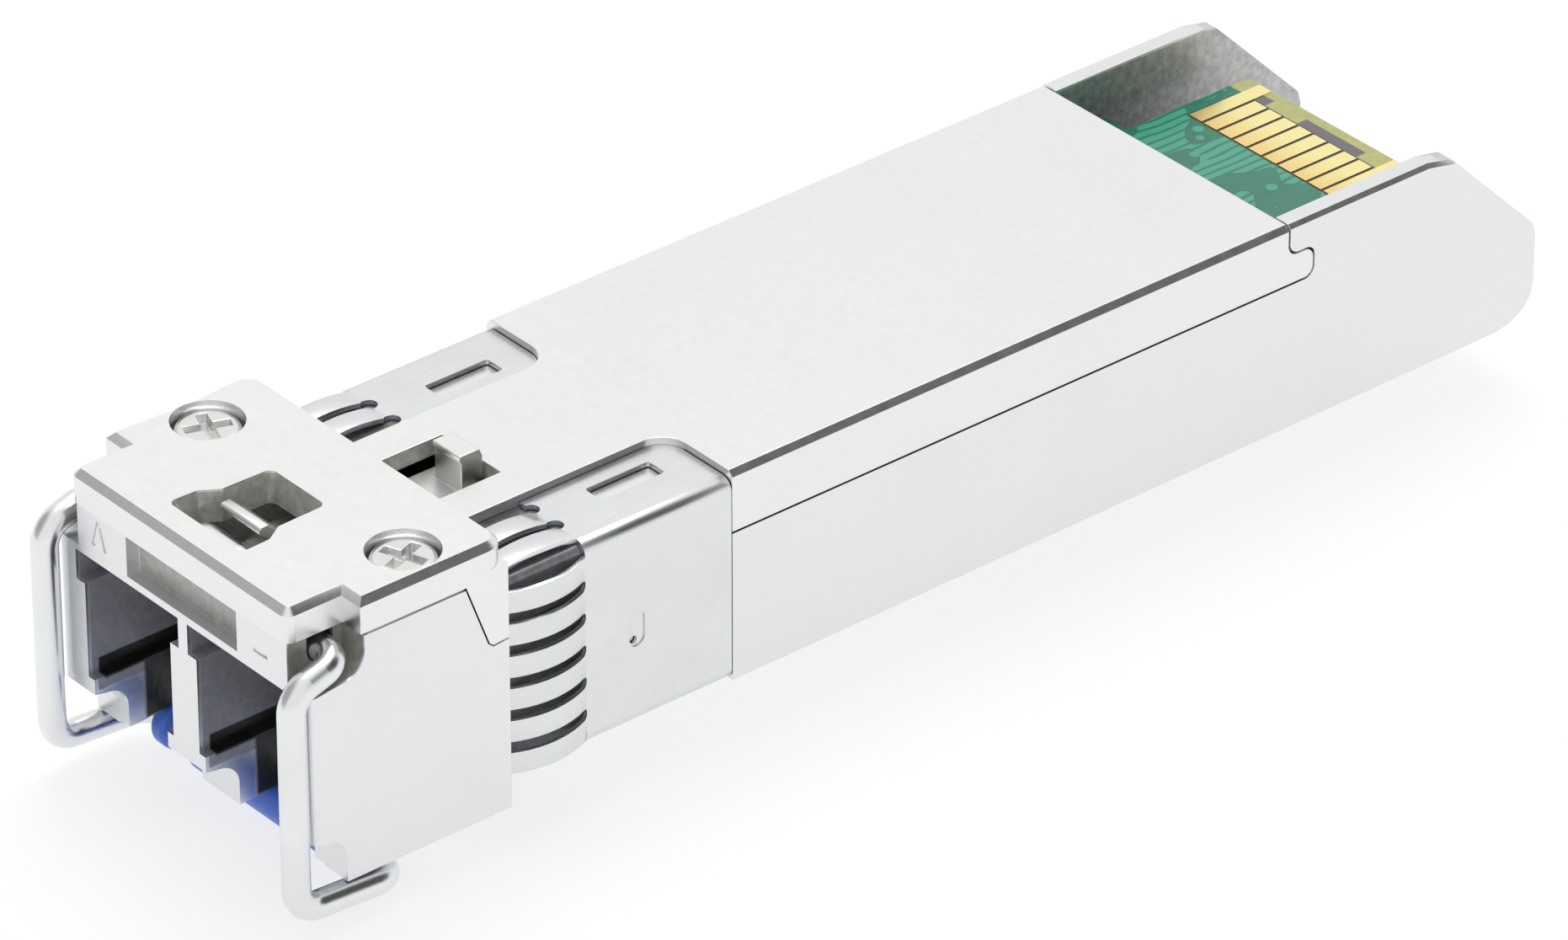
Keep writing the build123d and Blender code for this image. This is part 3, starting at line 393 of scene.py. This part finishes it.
# ---------------------------------------------------------------- finishing the CAD nodes
EDGE_MM = {"base_housing": 0.07, "top_cover": 0.06, "head_plate": 0.05, "emi_collar": 0.02,
           "latch_lever": 0.05, "plate_screws": 0.03}


def soften_edges(node, width_mm):
    """Merges the imported triangles, rounds the sharp edges slightly and keeps flat faces flat."""
    weld = node.modifiers.new("weld", "WELD")
    weld.merge_threshold = 0.001 * MM
    flat = node.modifiers.new("flat", "DECIMATE")
    flat.decimate_type = "DISSOLVE"
    flat.angle_limit = math.radians(0.6)
    bevel = node.modifiers.new("edges", "BEVEL")
    bevel.width = width_mm * MM
    bevel.segments = 2
    bevel.limit_method = "ANGLE"
    bevel.angle_limit = math.radians(35)
    bevel.harden_normals = False
    normals = node.modifiers.new("normals", "WEIGHTED_NORMAL")
    normals.keep_sharp = False


def finish_nodes(materials):
    for entry in frame["record"]["subparts"]:
        node = nodes[entry["node"]]
        node.data.materials.clear()
        node.data.materials.append(materials[entry["material_slot"]])
        if entry["node"] in EDGE_MM:
            soften_edges(node, EDGE_MM[entry["node"]])
    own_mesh(nodes["latch_spring"])


# ---------------------------------------------------------------- stage, light and camera
FLOOR_SIZE = 3.0
FLOOR_DROP = 0.0002        # the table lies this far under the module's lowest point
FLOOR_GLOW = 0.75


def make_floor():
    """A white table lit from within, so that shadows on it stay faint."""
    bpy.ops.mesh.primitive_plane_add(size=FLOOR_SIZE, location=(0, 0, -FLOOR_DROP))
    floor = bpy.context.object
    floor.name = "floor"
    graph = Graph("floor_paper")
    cloudy = graph.noise(40.0, 2.0)
    graph.put("Base Color", graph.mix(cloudy, (0.25, 0.25, 0.25, 1), (0.27, 0.27, 0.27, 1)))
    graph.put("Roughness", 0.9)
    graph.put("Specular IOR Level", 0.0)
    graph.put("Emission Color", (1.0, 1.0, 1.0, 1))
    graph.put("Emission Strength", FLOOR_GLOW)
    floor.data.materials.append(graph.material)


def soft_light(name, place, aim, width, height, watts):
    data = bpy.data.lights.new(name, "AREA")
    data.shape = "RECTANGLE"
    data.size = width
    data.size_y = height
    data.energy = watts
    lamp = bpy.data.objects.new(name, data)
    bpy.context.scene.collection.objects.link(lamp)
    lamp.location = place
    direction = Vector(aim) - Vector(place)
    lamp.rotation_euler = direction.to_track_quat("-Z", "Y").to_euler()


# the studio's two dark sides: one low at the front left, one high at the back right
FLAGS = [
    (Vector((-0.62, -0.68, 0.40)).normalized(), 0.70, 0.95, 0.42),
    (Vector((0.60, 0.50, 0.62)).normalized(), 0.83, 0.95, 0.05),
]
SKY_LEVEL = 0.93


def make_world():
    """An even white studio with a grey flag in each of the two directions."""
    world = bpy.data.worlds.new("studio")
    bpy.context.scene.world = world
    world.use_nodes = True
    tree = world.node_tree
    background = tree.nodes["Background"]
    coordinates = tree.nodes.new("ShaderNodeTexCoord")
    level = None
    for direction, start, end, dark in FLAGS:
        towards = tree.nodes.new("ShaderNodeVectorMath")
        towards.operation = "DOT_PRODUCT"
        tree.links.new(coordinates.outputs["Generated"], towards.inputs[0])
        towards.inputs[1].default_value = direction
        shade = tree.nodes.new("ShaderNodeMapRange")
        shade.interpolation_type = "SMOOTHSTEP"
        shade.inputs["From Min"].default_value = start
        shade.inputs["From Max"].default_value = end
        shade.inputs["To Min"].default_value = SKY_LEVEL
        shade.inputs["To Max"].default_value = dark
        tree.links.new(towards.outputs["Value"], shade.inputs["Value"])
        if level is None:
            level = shade.outputs["Result"]
        else:
            darker = tree.nodes.new("ShaderNodeMath")
            darker.operation = "MINIMUM"
            tree.links.new(level, darker.inputs[0])
            tree.links.new(shade.outputs["Result"], darker.inputs[1])
            level = darker.outputs[0]
    tree.links.new(level, background.inputs["Strength"])
    background.inputs["Color"].default_value = (1.0, 0.998, 0.99, 1)


KEY_PLACE = (-0.12, 0.10, 0.50)
KEY_SIZE = 0.3
KEY_WATTS = 1.0


def make_light():
    make_world()
    soft_light("key", KEY_PLACE, (0, 0, 0), KEY_SIZE, KEY_SIZE, KEY_WATTS)


CAMERA_AIM = at(0.421, 26.11, 2.504)
CAMERA_BACK = Vector((0.65096, -0.54657, 0.52679))
CAMERA_DISTANCE = 353.59 * MM
CAMERA_LENS = 231.16


def make_camera():
    data = bpy.data.cameras.new("camera")
    data.lens = CAMERA_LENS
    data.sensor_width = 36.0
    data.clip_start = 0.01
    data.clip_end = 10.0
    camera = bpy.data.objects.new("camera", data)
    bpy.context.scene.collection.objects.link(camera)
    camera.location = CAMERA_AIM + CAMERA_BACK * CAMERA_DISTANCE
    camera.rotation_euler = CAMERA_BACK.to_track_quat("Z", "Y").to_euler()
    bpy.context.scene.camera = camera
    bpy.context.scene.view_settings.view_transform = "Standard"


finish_nodes(make_materials())
make_floor()
make_light()
make_camera()
